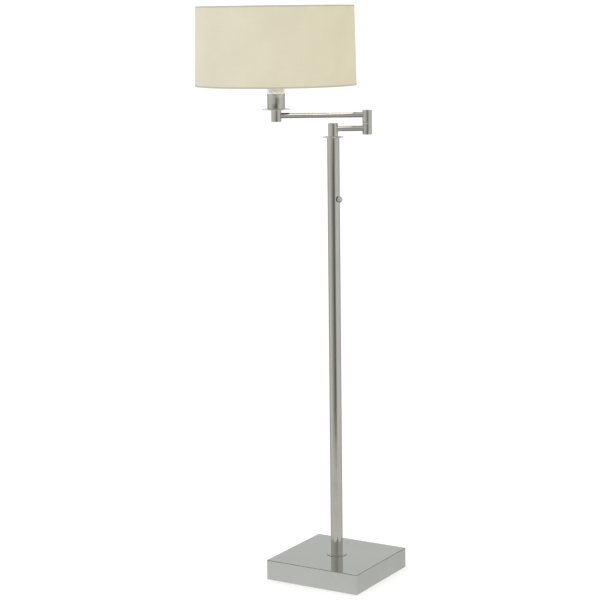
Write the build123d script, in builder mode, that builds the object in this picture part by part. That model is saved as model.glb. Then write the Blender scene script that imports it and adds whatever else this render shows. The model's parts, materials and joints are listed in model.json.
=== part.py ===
from build123d import *
import os

# Adjustable arm floor lamp. Millimetres, +Z up. The origin is the centre of the underside of the base,
# and the sides of the base run along X and Y. Both arms lie on one line through the pole, the arm line.

# Base
base_side = 244.0
base_height = 48.0
cover_wall = 1.5
cover_lift = 1.0
base_corner_round = 1.6
base_edge_round = 1.2
felt_thickness = 1.5
felt_side = 236.0
felt_corner_round = 3.0
plate_thickness = 1.5
plate_side = 240.0
plate_corner_round = 1.0
weight_side = 236.0
weight_corner_round = 6.0
weight_thickness = 20.0
weight_boss_diameter = 18.0
weight_boss_spacing = 190.0
nut_recess_diameter = 32.0
nut_recess_depth = 11.0
screw_diameter = 4.0
screw_head_diameter = 7.6
screw_head_height = 1.2
screw_length = 14.0
screw_head_clearance = 0.7
screw_tip_clearance = 2.0
driver_slot_length = 4.6
driver_slot_width = 0.9
driver_slot_depth = 0.8
base_washer_diameter = 24.0
base_washer_thickness = 1.5
base_nut_across_flats = 17.0
base_nut_height = 6.0
cord_height = 12.0
bushing_bore = 7.0
bushing_hole = 12.0
bushing_flange = 16.0
bushing_flange_thickness = 2.0
bushing_lip = 14.4
bushing_lip_length = 3.0
bushing_edge_round = 0.8

# Pole
pole_diameter = 28.6
pole_wall = 1.25
pole_top = 1044.5
disc_diameter = 48.0
disc_thickness = 1.6
plug_length = 22.0
plug_bore = 7.0
foot_thread_length = 12.0
top_thread_length = 14.5

# Threaded hollow pivots, nipples and their nuts
pivot_diameter = 10.0
pivot_bore = 6.4
running_clearance = 0.05
face_clearance = 0.05
nut_across_flats = 14.0
nut_height = 5.0
pivot_tip = 1.0
spring_washer_thickness = 0.8
spring_washer_diameter = 15.6
swivel_washer_inset = 0.6
pole_washer_thickness = 1.0
elbow_washer_thickness = 0.8
stop_pin_diameter = 2.4
stop_pin_radius = 8.2
stop_pin_reach = 2.1
pole_pin_depth = 8.0
pole_pin_yaw = 100.0
pole_bridge_yaw = 280.0
elbow_pin_depth = 3.6
elbow_pin_yaw = 120.0
elbow_bridge_yaw = 150.0
stop_bridge_width = 1.9
stop_groove_width = 3.0
stop_groove_depth = 2.6

# Arms
arm_yaw = 30.9
arm_tube_diameter = 12.7
arm_tube_wall = 1.0
lower_reach = 78.5
upper_reach = 209.0
lower_arm_height = 1064.7
upper_arm_height = 1096.0
hub_chamber_diameter = 17.0
hub_floor = 4.7
hub_edge = 0.4
web_clearance = 0.15
cap_diameter = 19.0
cap_thickness = 2.5
cap_edge = 0.2
pole_hub_diameter = 23.0
pole_hub_height = 30.0
elbow_diameter = 22.0
elbow_bottom = 1050.7
elbow_seam = 1076.0
elbow_top = 1106.6
socket_hub_diameter = 23.2
socket_hub_bottom = 1082.0
socket_hub_top = 1109.6
socket_chamber_diameter = 15.0
socket_cap_diameter = 17.0
tube_end_setback = 0.2

# Dimmer on the pole
dimmer_height = 901.8
dimmer_yaw = -11.5
dimmer_can = (16.0, 26.0, 16.5)
dimmer_can_front = 9.5
dimmer_bushing_diameter = 7.0
dimmer_bushing_end = 17.0
dimmer_bore_depth = 15.0
dimmer_shaft_diameter = 4.2
dimmer_shaft_depth = 14.5
dimmer_nut_across_flats = 10.0
dimmer_nut_thickness = 2.2
knob_diameter = 14.4
knob_back = 17.3
knob_shoulder = 20.3
knob_face = 24.0
knob_edge = 0.6
knob_flutes = 24
flute_radius = 0.6
flute_offset = 0.25
flute_stop = 0.4
shaft_past_shoulder = 0.7

# Leads inside the lamp
supply_lead_diameter = 5.0
arm_lead_diameter = 4.4
supply_bend = 17.0
supply_inset = 17.0
arm_bend = 9.0
pole_split_drop = 1.7
elbow_split_rise = 4.0
lead_split_gap = 0.3

# Socket and bulb
socket_disc_diameter = 64.5
cup_diameter = 41.0
cup_height = 36.0
cup_wall = 1.0
cup_edge_round = 0.3
socket_nut_height = 3.0
socket_thread_length = 5.5
socket_body_diameter = 36.0
socket_body_lift = 7.3
socket_body_seat = 6.0
socket_floor = 13.5
socket_flange_diameter = 40.0
socket_flange_height = 2.4
socket_sleeve_diameter = 34.0
socket_bore = 27.4
sleeve_rise = 4.0
collar_height = 22.4
collar_round = 0.6
clamp_ring_diameter = 44.0
clamp_ring_height = 8.0
clamp_ring_notches = 18
clamp_notch_radius = 1.1
screw_shell_wall = 0.3
shell_drop = 8.0
shell_top_gap = 1.0
contact_stem_diameter = 4.0
contact_stem_depth = 4.0
contact_diameter = 9.0
contact_thickness = 1.2
bulb_cap_diameter = 26.6
bulb_cap_height = 26.0
bulb_cap_drop = 2.0
bulb_tip_diameter = 10.0
bulb_tip_height = 2.4
bulb_diameter = 60.0
bulb_neck_height = 10.0
bulb_glass_height = 86.0
bulb_glass_wall = 1.0

# Shade
shade_top = 1346.0
shade_bottom = 1164.8
shade_top_radius = 181.5
shade_bottom_radius = 185.6
tape_thickness = 0.3
tape_outer_height = 3.5
tape_inner_height = 6.0
tape_notch_depth = 7.5
tape_notch_inset = 4.0
tape_notch_clearance = 0.3
fabric_thickness = 0.5
liner_thickness = 0.7
wire_diameter = 3.0
wire_clearance = 0.05
wire_wrap_clearance = 0.1
fitter_ring_diameter = 54.0
fitter_ring_thickness = 2.0
spoke_diameter = 2.8
spoke_inset = 2.5
spoke_count = 3
first_spoke_yaw = 90.0

# Heights and places that follow from the sizes above
plate_bottom = felt_thickness
plate_top = plate_bottom + plate_thickness
weight_top = base_height - cover_wall
weight_bottom = weight_top - weight_thickness
recess_top = weight_bottom + nut_recess_depth
base_nut_top = recess_top - base_washer_thickness
base_nut_bottom = base_nut_top - base_nut_height
base_nipple_bottom = cord_height + supply_bend
foot_top = base_height + disc_thickness
pole_bore = pole_diameter - 2 * pole_wall
top_disc_top = pole_top + disc_thickness
pole_hub_bottom = top_disc_top + pole_washer_thickness + face_clearance
pole_pivot_bottom = pole_top - top_thread_length
clamped_height = hub_floor + spring_washer_thickness + nut_height + pivot_tip
pole_pivot_top = pole_hub_bottom + clamped_height
elbow_hub_bottom = elbow_seam + elbow_washer_thickness + face_clearance
elbow_pivot_top = elbow_hub_bottom + clamped_height
socket_reach = lower_reach - upper_reach
socket_disc_top = socket_hub_top + disc_thickness
cup_top = socket_disc_top + cup_height
socket_body_bottom = socket_disc_top + socket_body_lift
flange_top = cup_top + socket_flange_height
collar_top = flange_top + collar_height
fitter_top = collar_top + fitter_ring_thickness
clamp_top = fitter_top + clamp_ring_height
sleeve_top = clamp_top + sleeve_rise
bulb_cap_top = sleeve_top - bulb_cap_drop
bulb_cap_bottom = bulb_cap_top - bulb_cap_height
shell_bottom = bulb_cap_bottom - shell_drop
wire_inset = tape_thickness + fabric_thickness + liner_thickness + wire_diameter / 2 + wire_clearance
wire_lift = tape_thickness + wire_clearance + wire_diameter / 2

arm_direction = Vector(1, 0, 0).rotate(Axis.Z, arm_yaw)
dimmer_direction = Vector(1, 0, 0).rotate(Axis.Z, dimmer_yaw)


def along_arm(distance, height):
    """The point on the arm line at a distance from the pole and a height above the floor."""
    return arm_direction * distance + Vector(0, 0, height)


def level_plane(distance, height):
    """A horizontal plane centred on the arm line, with its X along the arms."""
    return Plane(origin=along_arm(distance, height), x_dir=arm_direction, z_dir=(0, 0, 1))


def arm_plane(distance, height):
    """An upright plane across the arm line, which faces along it."""
    return Plane(origin=along_arm(distance, height), x_dir=(0, 0, 1), z_dir=arm_direction)


def dimmer_plane(reach):
    """An upright plane that faces out of the pole along the dimmer's shaft, at a reach from its axis."""
    sideways = dimmer_direction.rotate(Axis.Z, 90)
    origin = dimmer_direction * reach + Vector(0, 0, dimmer_height)
    return Plane(origin=origin, x_dir=sideways, z_dir=dimmer_direction)


def shade_radius(height):
    """The outer radius of the tapered drum at a height."""
    share = (height - shade_bottom) / (shade_top - shade_bottom)
    return shade_bottom_radius + share * (shade_top_radius - shade_bottom_radius)


def ring(distance, bottom, top, outer, inner):
    """A disc, washer or tube about an upright axis on the arm line."""
    with BuildPart() as piece:
        with BuildSketch(level_plane(distance, bottom)):
            Circle(outer / 2)
            Circle(inner / 2, mode=Mode.SUBTRACT)
        extrude(amount=top - bottom)
    return piece


def hex_nut(distance, bottom, height, across_flats):
    """A hexagonal nut on a threaded hollow pivot."""
    with BuildPart() as piece:
        with BuildSketch(level_plane(distance, bottom)):
            RegularPolygon(across_flats / 2, 6, major_radius=False)
            Circle(pivot_diameter / 2, mode=Mode.SUBTRACT)
        extrude(amount=height)
    return piece


def cap(distance, bottom, diameter):
    """A flush cap that closes the chamber of a hub."""
    with BuildPart() as piece:
        with BuildSketch(level_plane(distance, bottom)):
            Circle(diameter / 2)
        extrude(amount=cap_thickness)
        chamfer(piece.edges().filter_by(GeomType.CIRCLE), cap_edge)
    return piece


def arm_tube(start, end, height):
    """A straight tube along the arm line."""
    with BuildPart() as piece:
        with BuildSketch(arm_plane(start, height)):
            Circle(arm_tube_diameter / 2)
            Circle(arm_tube_diameter / 2 - arm_tube_wall, mode=Mode.SUBTRACT)
        extrude(amount=end - start)
    return piece


def turning_hub(distance, bottom, top, diameter, port_height, port_side, bridge_yaw):
    """A hub that turns on a pivot: bored floor with a stop groove below, nut chamber, cap seat, arm port."""
    with BuildPart() as piece:
        with BuildSketch(level_plane(distance, bottom)):
            Circle(diameter / 2)
        extrude(amount=top - bottom)
        chamfer(piece.edges().filter_by(GeomType.CIRCLE), hub_edge)
        with BuildSketch(level_plane(distance, bottom)):
            Circle(pivot_diameter / 2 + running_clearance)
        extrude(amount=hub_floor, mode=Mode.SUBTRACT)
        with BuildSketch(level_plane(distance, bottom + hub_floor)):
            Circle(hub_chamber_diameter / 2)
        extrude(amount=top - bottom - hub_floor, mode=Mode.SUBTRACT)
        with BuildSketch(level_plane(distance, top - cap_thickness)):
            Circle(cap_diameter / 2)
        extrude(amount=cap_thickness, mode=Mode.SUBTRACT)
        with BuildSketch(level_plane(distance, bottom)):
            Circle(stop_pin_radius + stop_groove_width / 2)
            Circle(stop_pin_radius - stop_groove_width / 2, mode=Mode.SUBTRACT)
            with Locations(Rotation(0, 0, bridge_yaw) * Pos(stop_pin_radius, 0)):
                Rectangle(stop_groove_width * 2, stop_bridge_width, mode=Mode.SUBTRACT)
        extrude(amount=stop_groove_depth, mode=Mode.SUBTRACT)
        with BuildSketch(arm_plane(distance, port_height)):
            Circle(arm_tube_diameter / 2)
        extrude(amount=port_side * diameter, mode=Mode.SUBTRACT)
    return piece


def carrier_hub(distance, bottom, top, diameter, port_height, chamber, cap_seat, stop_yaw=None):
    """A hub with a tapped web on top, a chamber below it, a cap seat underneath and an arm port."""
    web_bottom = port_height + arm_tube_diameter / 2 + web_clearance
    with BuildPart() as piece:
        with BuildSketch(level_plane(distance, bottom)):
            Circle(diameter / 2)
        extrude(amount=top - bottom)
        chamfer(piece.edges().filter_by(GeomType.CIRCLE), hub_edge)
        with BuildSketch(level_plane(distance, bottom)):
            Circle(chamber / 2)
        extrude(amount=web_bottom - bottom, mode=Mode.SUBTRACT)
        with BuildSketch(level_plane(distance, bottom)):
            Circle(cap_seat / 2)
        extrude(amount=cap_thickness, mode=Mode.SUBTRACT)
        with BuildSketch(level_plane(distance, web_bottom)):
            Circle(pivot_diameter / 2)
        extrude(amount=top - web_bottom, mode=Mode.SUBTRACT)
        if stop_yaw is not None:
            with BuildSketch(level_plane(distance, top).rotated((0, 0, stop_yaw))):
                with Locations((stop_pin_radius, 0)):
                    Circle(stop_pin_diameter / 2)
            extrude(amount=-elbow_pin_depth, mode=Mode.SUBTRACT)
        port_side = -1 if distance > 0 else 1
        with BuildSketch(arm_plane(distance, port_height)):
            Circle(arm_tube_diameter / 2)
        extrude(amount=port_side * diameter, mode=Mode.SUBTRACT)
    return piece


def lead(points, diameter, bend):
    """A round lead that runs straight between points and bends with one radius at each corner."""
    with BuildPart() as piece:
        with BuildLine() as route:
            FilletPolyline(*points, radius=bend)
        with BuildSketch(Plane(origin=route.line @ 0, z_dir=route.line % 0)):
            Circle(diameter / 2)
        sweep()
    return piece


def label(piece, name):
    """Name a finished piece after its node."""
    piece.part.label = name
    pieces.append(piece)
    return piece


pieces = []

# Base: a deep square cover over a cast weight, closed by a screwed plate with a felt pad
with BuildPart() as base_cover:
    with BuildSketch(Plane.XY.offset(cover_lift)):
        RectangleRounded(base_side, base_side, base_corner_round)
    extrude(amount=base_height - cover_lift)
    fillet(base_cover.faces().sort_by(Axis.Z)[-1].edges(), base_edge_round)
    with BuildSketch(Plane.XY.offset(cover_lift)):
        Rectangle(base_side - 2 * cover_wall, base_side - 2 * cover_wall)
    extrude(amount=weight_top - cover_lift, mode=Mode.SUBTRACT)
    with Locations((0, 0, base_height)):
        Hole(pivot_diameter / 2, depth=2 * cover_wall)
    with BuildSketch(Plane(origin=(0, base_side / 2, cord_height), z_dir=(0, 1, 0))):
        Circle(bushing_hole / 2)
    extrude(amount=-2 * cover_wall, mode=Mode.SUBTRACT)
label(base_cover, "base_cover")

with BuildPart() as base_weight:
    with BuildSketch(Plane.XY.offset(weight_bottom)):
        RectangleRounded(weight_side, weight_side, weight_corner_round)
    extrude(amount=weight_thickness)
    with BuildSketch(Plane.XY.offset(plate_top)):
        with GridLocations(weight_boss_spacing, weight_boss_spacing, 2, 2):
            Circle(weight_boss_diameter / 2)
    extrude(amount=weight_bottom - plate_top)
    with BuildSketch(Plane.XY.offset(weight_bottom)):
        Circle(nut_recess_diameter / 2)
    extrude(amount=nut_recess_depth, mode=Mode.SUBTRACT)
    with Locations((0, 0, weight_top)):
        Hole(pivot_diameter / 2)
    with BuildSketch(Plane.XY.offset(plate_top)):
        with GridLocations(weight_boss_spacing, weight_boss_spacing, 2, 2):
            Circle(screw_diameter / 2)
    extrude(amount=screw_length, mode=Mode.SUBTRACT)
label(base_weight, "base_weight")

with BuildPart() as base_plate:
    with BuildSketch(Plane.XY.offset(plate_bottom)):
        RectangleRounded(plate_side, plate_side, plate_corner_round)
        with GridLocations(weight_boss_spacing, weight_boss_spacing, 2, 2):
            Circle(screw_diameter / 2, mode=Mode.SUBTRACT)
    extrude(amount=plate_thickness)
label(base_plate, "base_plate")

with BuildPart() as felt_pad:
    with BuildSketch(Plane.XY):
        RectangleRounded(felt_side, felt_side, felt_corner_round)
        with GridLocations(weight_boss_spacing, weight_boss_spacing, 2, 2):
            Circle(screw_head_diameter / 2 + screw_head_clearance, mode=Mode.SUBTRACT)
    extrude(amount=felt_thickness)
label(felt_pad, "felt_pad")

with BuildPart() as base_plate_screws:
    with BuildSketch(Plane.XY.offset(plate_bottom)):
        with GridLocations(weight_boss_spacing, weight_boss_spacing, 2, 2):
            Circle(screw_head_diameter / 2)
    extrude(amount=-screw_head_height)
    with BuildSketch(Plane.XY.offset(plate_bottom)):
        with GridLocations(weight_boss_spacing, weight_boss_spacing, 2, 2):
            Circle(screw_diameter / 2)
    extrude(amount=plate_thickness + screw_length - screw_tip_clearance)
    with BuildSketch(Plane.XY.offset(plate_bottom - screw_head_height)):
        with GridLocations(weight_boss_spacing, weight_boss_spacing, 2, 2):
            Rectangle(driver_slot_length, driver_slot_width)
            Rectangle(driver_slot_width, driver_slot_length)
    extrude(amount=driver_slot_depth, mode=Mode.SUBTRACT)
label(base_plate_screws, "base_plate_screws")

with BuildPart() as cord_bushing:
    outside = Plane(origin=(0, base_side / 2, cord_height), z_dir=(0, 1, 0))
    inside = Plane(origin=(0, base_side / 2 - cover_wall, cord_height), z_dir=(0, -1, 0))
    with BuildSketch(outside):
        Circle(bushing_flange / 2)
    extrude(amount=bushing_flange_thickness)
    fillet(cord_bushing.faces().sort_by(Axis.Y)[-1].edges(), bushing_edge_round)
    with BuildSketch(outside):
        Circle(bushing_hole / 2)
    extrude(amount=-cover_wall)
    with BuildSketch(inside):
        Circle(bushing_lip / 2)
    extrude(amount=bushing_lip_length)
    with BuildSketch(outside.offset(bushing_flange_thickness)):
        Circle(bushing_bore / 2)
    extrude(amount=-bushing_flange_thickness - cover_wall - bushing_lip_length, mode=Mode.SUBTRACT)
label(cord_bushing, "cord_bushing")

foot_disc = label(ring(0, base_height, foot_top, disc_diameter, pivot_diameter), "foot_disc")
base_nipple_top = foot_top + foot_thread_length
base_nipple = label(ring(0, base_nipple_bottom, base_nipple_top, pivot_diameter, pivot_bore), "base_nipple")
base_washer = label(
    ring(0, base_nut_top, recess_top, base_washer_diameter, pivot_diameter), "base_washer"
)
base_nut = label(hex_nut(0, base_nut_bottom, base_nut_height, base_nut_across_flats), "base_nut")

# Pole: a tube with a tapped plug in each end and a thin disc at its foot and at its top
with BuildPart() as pole_tube:
    with BuildSketch(Plane.XY.offset(foot_top)):
        Circle(pole_diameter / 2)
        Circle(pole_bore / 2, mode=Mode.SUBTRACT)
    extrude(amount=pole_top - foot_top)
    with BuildSketch(dimmer_plane(0)):
        Circle(dimmer_bushing_diameter / 2)
    extrude(amount=pole_diameter, mode=Mode.SUBTRACT)
label(pole_tube, "pole_tube")

with BuildPart() as pole_foot_plug:
    with BuildSketch(Plane.XY.offset(foot_top)):
        Circle(pole_bore / 2)
    extrude(amount=plug_length)
    with BuildSketch(Plane.XY.offset(foot_top)):
        Circle(pivot_diameter / 2)
    extrude(amount=base_nipple_top - foot_top, mode=Mode.SUBTRACT)
    with BuildSketch(Plane.XY.offset(base_nipple_top)):
        Circle(plug_bore / 2)
    extrude(amount=plug_length, mode=Mode.SUBTRACT)
label(pole_foot_plug, "pole_foot_plug")

pole_pin_plane = Plane(origin=(0, 0, pole_top)).rotated((0, 0, arm_yaw + pole_pin_yaw))
with BuildPart() as pole_top_plug:
    with BuildSketch(Plane.XY.offset(pole_top - plug_length)):
        Circle(pole_bore / 2)
    extrude(amount=plug_length)
    with BuildSketch(Plane.XY.offset(pole_pivot_bottom)):
        Circle(pivot_diameter / 2)
    extrude(amount=pole_top - pole_pivot_bottom, mode=Mode.SUBTRACT)
    with BuildSketch(Plane.XY.offset(pole_top - plug_length)):
        Circle(plug_bore / 2)
    extrude(amount=plug_length, mode=Mode.SUBTRACT)
    with BuildSketch(pole_pin_plane):
        with Locations((stop_pin_radius, 0)):
            Circle(stop_pin_diameter / 2)
    extrude(amount=-pole_pin_depth, mode=Mode.SUBTRACT)
label(pole_top_plug, "pole_top_plug")

with BuildPart() as pole_top_disc:
    with BuildSketch(pole_pin_plane):
        Circle(disc_diameter / 2)
        Circle(pivot_diameter / 2, mode=Mode.SUBTRACT)
        with Locations((stop_pin_radius, 0)):
            Circle(stop_pin_diameter / 2, mode=Mode.SUBTRACT)
    extrude(amount=disc_thickness)
label(pole_top_disc, "pole_top_disc")

with BuildPart() as pole_swivel_washer:
    with BuildSketch(pole_pin_plane.offset(disc_thickness)):
        Circle(pole_hub_diameter / 2 - swivel_washer_inset)
        Circle(pivot_diameter / 2, mode=Mode.SUBTRACT)
        with Locations((stop_pin_radius, 0)):
            Circle(stop_pin_diameter / 2, mode=Mode.SUBTRACT)
    extrude(amount=pole_washer_thickness)
label(pole_swivel_washer, "pole_swivel_washer")

with BuildPart() as pole_stop_pin:
    with BuildSketch(pole_pin_plane.offset(-pole_pin_depth)):
        with Locations((stop_pin_radius, 0)):
            Circle(stop_pin_diameter / 2)
    extrude(amount=pole_pin_depth + disc_thickness + pole_washer_thickness + stop_pin_reach)
label(pole_stop_pin, "pole_stop_pin")

pole_pivot = label(ring(0, pole_pivot_bottom, pole_pivot_top, pivot_diameter, pivot_bore), "pole_pivot")
washer_bottom = pole_hub_bottom + hub_floor + face_clearance
washer_top = washer_bottom + spring_washer_thickness
pole_spring_washer = label(
    ring(0, washer_bottom, washer_top, spring_washer_diameter, pivot_diameter), "pole_spring_washer"
)
pole_lock_nut = label(hex_nut(0, washer_top, nut_height, nut_across_flats), "pole_lock_nut")

# Dimmer: a can inside the pole, its bushing and nut, and the knob on its shaft
can_width, can_height, can_depth = dimmer_can
with BuildPart() as dimmer_body:
    with BuildSketch(dimmer_plane(dimmer_can_front)):
        Rectangle(can_width, can_height)
    extrude(amount=-can_depth)
    with BuildSketch(dimmer_plane(dimmer_can_front)):
        Circle(dimmer_bushing_diameter / 2)
    extrude(amount=dimmer_bushing_end - dimmer_can_front)
    with BuildSketch(dimmer_plane(dimmer_bushing_end)):
        Circle(dimmer_shaft_diameter / 2 + running_clearance)
    extrude(amount=-dimmer_bore_depth, mode=Mode.SUBTRACT)
label(dimmer_body, "dimmer_body")

with BuildPart() as dimmer_nut:
    with BuildSketch(dimmer_plane(pole_diameter / 2 + face_clearance)):
        RegularPolygon(dimmer_nut_across_flats / 2, 6, major_radius=False)
        Circle(dimmer_bushing_diameter / 2, mode=Mode.SUBTRACT)
    extrude(amount=dimmer_nut_thickness)
label(dimmer_nut, "dimmer_nut")

shaft_end = knob_shoulder + shaft_past_shoulder
with BuildPart() as dimmer_shaft:
    with BuildSketch(dimmer_plane(dimmer_bushing_end - dimmer_shaft_depth)):
        Circle(dimmer_shaft_diameter / 2)
    extrude(amount=shaft_end - dimmer_bushing_end + dimmer_shaft_depth)
label(dimmer_shaft, "dimmer_shaft")

dome_rise = knob_face - knob_shoulder
knob_dome_radius = ((knob_diameter / 2) ** 2 + dome_rise**2) / (2 * dome_rise)
knob_section = Plane(origin=(0, 0, dimmer_height), x_dir=dimmer_direction, z_dir=dimmer_plane(0).x_dir)
with BuildPart() as dimmer_knob:
    with BuildSketch(knob_section):
        with BuildLine():
            Polyline(
                (knob_face, 0),
                (knob_back, 0),
                (knob_back, knob_diameter / 2 - knob_edge),
                (knob_back + knob_edge, knob_diameter / 2),
                (knob_shoulder, knob_diameter / 2),
            )
            RadiusArc((knob_shoulder, knob_diameter / 2), (knob_face, 0), knob_dome_radius)
        make_face()
    revolve(axis=Axis((0, 0, dimmer_height), dimmer_direction))
    with BuildSketch(dimmer_plane(knob_back)):
        with PolarLocations(knob_diameter / 2 + flute_offset, knob_flutes):
            Circle(flute_radius)
    extrude(amount=knob_shoulder - knob_back - flute_stop, mode=Mode.SUBTRACT)
    with BuildSketch(dimmer_plane(knob_back)):
        Circle(dimmer_shaft_diameter / 2)
    extrude(amount=shaft_end - knob_back, mode=Mode.SUBTRACT)
label(dimmer_knob, "dimmer_knob")

# Lower arm: a hub on the pole's pivot, a short tube and the lower half of the elbow
pole_hub_top = pole_hub_bottom + pole_hub_height
pole_hub = label(
    turning_hub(0, pole_hub_bottom, pole_hub_top, pole_hub_diameter, lower_arm_height, 1, pole_bridge_yaw),
    "pole_hub",
)
pole_hub_cap = label(cap(0, pole_hub_top - cap_thickness, cap_diameter), "pole_hub_cap")
tube_end = hub_chamber_diameter / 2 - tube_end_setback
lower_arm_tube = label(arm_tube(tube_end, lower_reach - tube_end, lower_arm_height), "lower_arm_tube")

elbow_web = lower_arm_height + arm_tube_diameter / 2 + web_clearance
elbow_pin_plane = level_plane(lower_reach, elbow_seam).rotated((0, 0, elbow_pin_yaw))
elbow_lower_hub = label(
    carrier_hub(
        lower_reach,
        elbow_bottom,
        elbow_seam,
        elbow_diameter,
        lower_arm_height,
        hub_chamber_diameter,
        cap_diameter,
        elbow_pin_yaw,
    ),
    "elbow_lower_hub",
)
elbow_lower_cap = label(cap(lower_reach, elbow_bottom, cap_diameter), "elbow_lower_cap")

with BuildPart() as elbow_swivel_washer:
    with BuildSketch(elbow_pin_plane):
        Circle(elbow_diameter / 2 - swivel_washer_inset)
        Circle(pivot_diameter / 2, mode=Mode.SUBTRACT)
        with Locations((stop_pin_radius, 0)):
            Circle(stop_pin_diameter / 2, mode=Mode.SUBTRACT)
    extrude(amount=elbow_washer_thickness)
label(elbow_swivel_washer, "elbow_swivel_washer")

with BuildPart() as elbow_stop_pin:
    with BuildSketch(elbow_pin_plane.offset(-elbow_pin_depth)):
        with Locations((stop_pin_radius, 0)):
            Circle(stop_pin_diameter / 2)
    extrude(amount=elbow_pin_depth + elbow_washer_thickness + stop_pin_reach)
label(elbow_stop_pin, "elbow_stop_pin")

elbow_pivot = label(ring(lower_reach, elbow_web, elbow_pivot_top, pivot_diameter, pivot_bore), "elbow_pivot")
washer_bottom = elbow_hub_bottom + hub_floor + face_clearance
washer_top = washer_bottom + spring_washer_thickness
elbow_spring_washer = label(
    ring(lower_reach, washer_bottom, washer_top, spring_washer_diameter, pivot_diameter),
    "elbow_spring_washer",
)
elbow_lock_nut = label(hex_nut(lower_reach, washer_top, nut_height, nut_across_flats), "elbow_lock_nut")

# Upper arm: the upper half of the elbow, a longer tube and the hub below the socket
elbow_upper_hub = label(
    turning_hub(
        lower_reach, elbow_hub_bottom, elbow_top, elbow_diameter, upper_arm_height, -1, elbow_bridge_yaw
    ),
    "elbow_upper_hub",
)
elbow_upper_cap = label(cap(lower_reach, elbow_top - cap_thickness, cap_diameter), "elbow_upper_cap")
socket_tube_end = socket_chamber_diameter / 2 - tube_end_setback
upper_arm_tube = label(
    arm_tube(socket_reach + socket_tube_end, lower_reach - tube_end, upper_arm_height), "upper_arm_tube"
)
socket_hub = label(
    carrier_hub(
        socket_reach,
        socket_hub_bottom,
        socket_hub_top,
        socket_hub_diameter,
        upper_arm_height,
        socket_chamber_diameter,
        socket_cap_diameter,
    ),
    "socket_hub",
)
socket_hub_cap = label(cap(socket_reach, socket_hub_bottom, socket_cap_diameter), "socket_hub_cap")

# Leads: from the base to the dimmer, on to the pivot, and through both arms to the socket
supply_points = [
    (0, base_side / 2 - supply_inset, cord_height),
    (0, 0, cord_height),
    (0, 0, dimmer_height - can_height / 2),
]
supply_lead = label(lead(supply_points, supply_lead_diameter, supply_bend), "supply_lead")
pole_split = lower_arm_height - arm_bend - pole_split_drop
elbow_split = elbow_seam + elbow_split_rise
with BuildPart() as dimmer_lead:
    with BuildSketch(Plane.XY.offset(dimmer_height + can_height / 2)):
        Circle(arm_lead_diameter / 2)
    extrude(amount=pole_split - lead_split_gap / 2 - dimmer_height - can_height / 2)
label(dimmer_lead, "dimmer_lead")
lower_points = [
    along_arm(0, pole_split + lead_split_gap / 2),
    along_arm(0, lower_arm_height),
    along_arm(lower_reach, lower_arm_height),
    along_arm(lower_reach, elbow_split - lead_split_gap / 2),
]
lower_arm_lead = label(lead(lower_points, arm_lead_diameter, arm_bend), "lower_arm_lead")
nipple_top = socket_body_bottom + socket_thread_length
upper_points = [
    along_arm(lower_reach, elbow_split + lead_split_gap / 2),
    along_arm(lower_reach, upper_arm_height),
    along_arm(socket_reach, upper_arm_height),
    along_arm(socket_reach, nipple_top),
]
upper_arm_lead = label(lead(upper_points, arm_lead_diameter, arm_bend), "upper_arm_lead")

# Socket: a disc and a cup on a hollow nipple, a moulded body in the cup, and its metal contacts
socket_web = upper_arm_height + arm_tube_diameter / 2 + web_clearance
socket_nipple = label(ring(socket_reach, socket_web, nipple_top, pivot_diameter, pivot_bore), "socket_nipple")
socket_disc = label(
    ring(socket_reach, socket_hub_top, socket_disc_top, socket_disc_diameter, pivot_diameter), "socket_disc"
)
with BuildPart() as socket_cup:
    with BuildSketch(level_plane(socket_reach, socket_disc_top)):
        Circle(cup_diameter / 2)
    extrude(amount=cup_height)
    with BuildSketch(level_plane(socket_reach, socket_disc_top + cup_wall)):
        Circle(cup_diameter / 2 - cup_wall)
    extrude(amount=cup_height, mode=Mode.SUBTRACT)
    fillet(socket_cup.edges().filter_by(GeomType.CIRCLE).sort_by(Axis.Z)[-2:], cup_edge_round)
    with BuildSketch(level_plane(socket_reach, socket_disc_top)):
        Circle(pivot_diameter / 2)
    extrude(amount=cup_wall, mode=Mode.SUBTRACT)
label(socket_cup, "socket_cup")
socket_lock_nut = label(
    hex_nut(socket_reach, socket_disc_top + cup_wall, socket_nut_height, nut_across_flats), "socket_lock_nut"
)

socket_floor_top = socket_body_bottom + socket_floor
contact_stem_bottom = socket_floor_top - contact_stem_depth
with BuildPart() as socket_body:
    with BuildSketch(level_plane(socket_reach, socket_body_bottom)):
        Circle(socket_body_diameter / 2)
    extrude(amount=cup_top - socket_body_bottom)
    with BuildSketch(level_plane(socket_reach, cup_top)):
        Circle(socket_flange_diameter / 2)
    extrude(amount=socket_flange_height)
    with BuildSketch(level_plane(socket_reach, flange_top)):
        Circle(socket_sleeve_diameter / 2)
    extrude(amount=sleeve_top - flange_top)
    with BuildSketch(level_plane(socket_reach, socket_floor_top)):
        Circle(socket_bore / 2)
    extrude(amount=sleeve_top - socket_floor_top, mode=Mode.SUBTRACT)
    with BuildSketch(level_plane(socket_reach, socket_body_bottom)):
        Circle(pivot_diameter / 2)
    extrude(amount=socket_body_seat, mode=Mode.SUBTRACT)
    with BuildSketch(level_plane(socket_reach, contact_stem_bottom)):
        Circle(contact_stem_diameter / 2)
    extrude(amount=contact_stem_depth, mode=Mode.SUBTRACT)
label(socket_body, "socket_body")

with BuildPart() as socket_collar:
    with BuildSketch(level_plane(socket_reach, flange_top)):
        Circle(cup_diameter / 2)
        Circle(socket_sleeve_diameter / 2, mode=Mode.SUBTRACT)
    extrude(amount=collar_height)
    fillet(socket_collar.edges().filter_by(GeomType.CIRCLE).sort_by(SortBy.RADIUS)[-2:], collar_round)
label(socket_collar, "socket_collar")

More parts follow.
